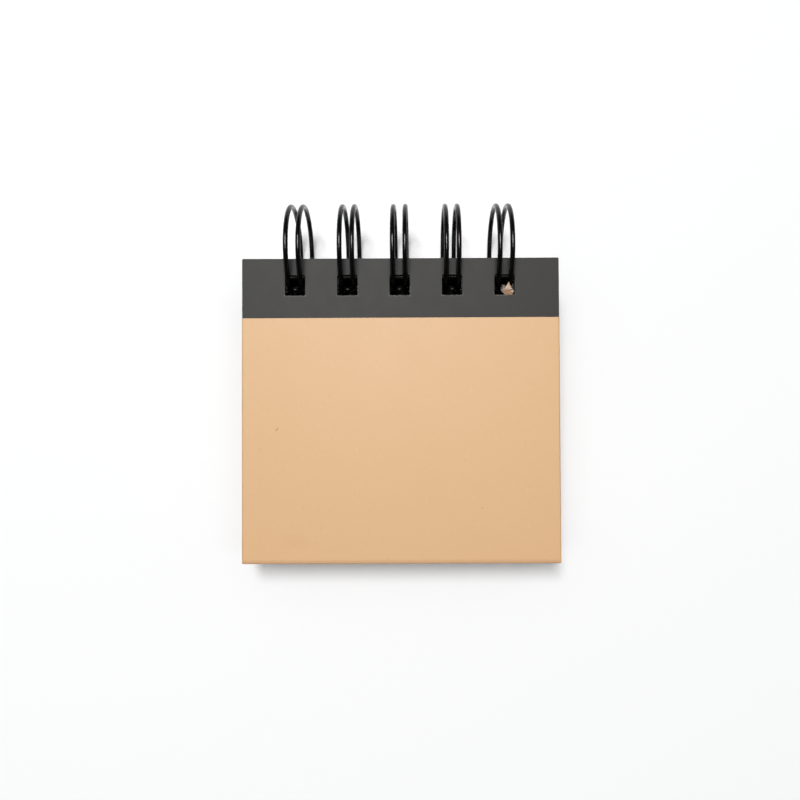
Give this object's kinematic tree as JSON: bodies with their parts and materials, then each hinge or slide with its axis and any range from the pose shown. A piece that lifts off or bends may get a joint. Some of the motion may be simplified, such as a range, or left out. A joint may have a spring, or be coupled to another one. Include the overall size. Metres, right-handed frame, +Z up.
{
  "type": "sticky note pad",
  "caption": "Small square wire-bound sticky note pad: tan board covers with a dark spine strip, a block of sheets and a black twin-loop wire that both covers swing round.",
  "frame": {"origin": "middle of the pad's footprint, on the surface that it lies on", "axes": "+X along the spine and the rings' axis, +Y towards the spine and its rings, +Z up, the front cover on top"},
  "size_m": [0.077, 0.089, 0.0242],
  "materials": {
    "cover_board": "matt tan paper over brown board",
    "spine_strip": "matt dark grey paper",
    "sheets": "uncoated off-white note paper",
    "wire": "black satin coating"
  },
  "bodies": {
    "pad": {"page_block": "sheets", "wire_binding": "wire"},
    "front_cover": {"front_cover_board": "cover_board", "front_spine_strip": "spine_strip"},
    "back_cover": {"back_cover_board": "cover_board", "back_spine_strip": "spine_strip"}
  },
  "joints": [
    {"name": "front_cover_hinge", "type": "hinge", "parent": "pad", "child": "front_cover", "pos_m": [0, 0.0325, 0.01209], "axis": [-1, 0, 0], "range_deg": [0, 180]},
    {"name": "back_cover_hinge", "type": "hinge", "parent": "pad", "child": "back_cover", "pos_m": [0, 0.0325, 0.01209], "axis": [1, 0, 0], "range_deg": [0, 40]}
  ]
}
